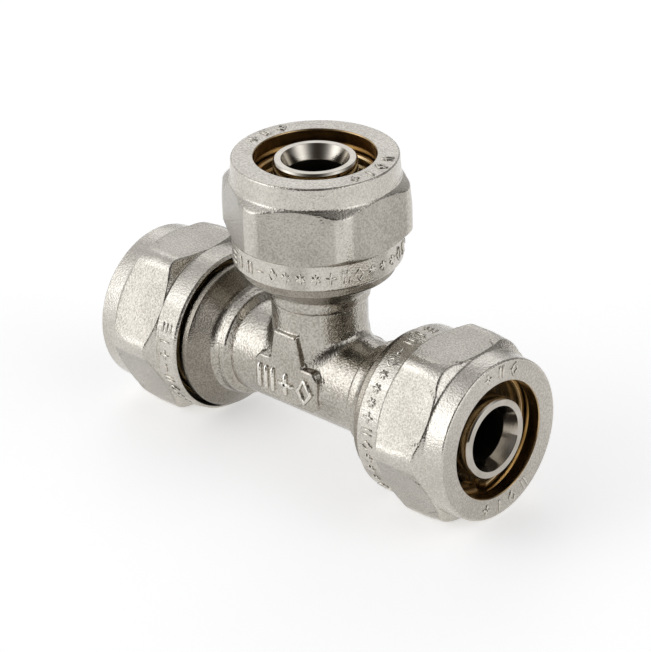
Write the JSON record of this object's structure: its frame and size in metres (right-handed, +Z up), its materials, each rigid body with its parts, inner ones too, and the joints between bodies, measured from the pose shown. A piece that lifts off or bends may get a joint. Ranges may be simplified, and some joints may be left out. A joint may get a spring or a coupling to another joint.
{
  "type": "compression fitting",
  "caption": "Equal tee compression fitting for multilayer pipe: nickel-plated forged body, hexagonal union nuts that turn on its threads, split rings and sealed pipe tails.",
  "frame": {"origin": "bottom centre of the bounding box: on the plane the two run nuts stand on, straight below the point where the three port axes cross, 12 mm up", "axes": "+X along the run towards the right port, +Z up the branch, -Y towards the side with the front pad"},
  "size_m": [0.066, 0.027, 0.045],
  "materials": {
    "nickel_plated_brass": "satin nickel plate over forged brass, bright on turned faces",
    "bare_brass": "bare turned brass",
    "epdm_rubber": "matt black",
    "ptfe": "waxy white"
  },
  "bodies": {
    "fitting": {"tee_body": "nickel_plated_brass", "insulating_washer_right": "ptfe", "o_ring_inner_right": "epdm_rubber", "o_ring_outer_right": "epdm_rubber", "insulating_washer_left": "ptfe", "o_ring_inner_left": "epdm_rubber", "o_ring_outer_left": "epdm_rubber", "insulating_washer_branch": "ptfe", "o_ring_inner_branch": "epdm_rubber", "o_ring_outer_branch": "epdm_rubber"},
    "ring_right": {"compression_ring_right": "bare_brass"},
    "nut_right": {"union_nut_right": "nickel_plated_brass"},
    "ring_left": {"compression_ring_left": "bare_brass"},
    "nut_left": {"union_nut_left": "nickel_plated_brass"},
    "ring_branch": {"compression_ring_branch": "bare_brass"},
    "nut_branch": {"union_nut_branch": "nickel_plated_brass"}
  },
  "joints": [
    {"name": "ring_travel_right", "type": "slide", "parent": "fitting", "child": "ring_right", "axis": [1, 0, 0], "range_m": [-0.00112, 0.0045]},
    {"name": "nut_turn_right", "type": "hinge", "parent": "ring_right", "child": "nut_right", "pos_m": [0, 0, 0.012], "axis": [1, 0, 0], "range_deg": [-270, 1080]},
    {"name": "ring_travel_left", "type": "slide", "parent": "fitting", "child": "ring_left", "axis": [-1, 0, 0], "range_m": [-0.00112, 0.0045]},
    {"name": "nut_turn_left", "type": "hinge", "parent": "ring_left", "child": "nut_left", "pos_m": [0, 0, 0.012], "axis": [-1, 0, 0], "range_deg": [-270, 1080]},
    {"name": "ring_travel_branch", "type": "slide", "parent": "fitting", "child": "ring_branch", "axis": [0, 0, 1], "range_m": [-0.00112, 0.0045]},
    {"name": "nut_turn_branch", "type": "hinge", "parent": "ring_branch", "child": "nut_branch", "pos_m": [0, 0, 0.012], "axis": [0, 0, 1], "range_deg": [-270, 1080]}
  ],
  "couplings": [
    {"joint": "ring_travel_right", "follows": "nut_turn_right", "m_per_rad": 0.00023873},
    {"joint": "ring_travel_left", "follows": "nut_turn_left", "m_per_rad": 0.00023873},
    {"joint": "ring_travel_branch", "follows": "nut_turn_branch", "m_per_rad": 0.00023873}
  ]
}
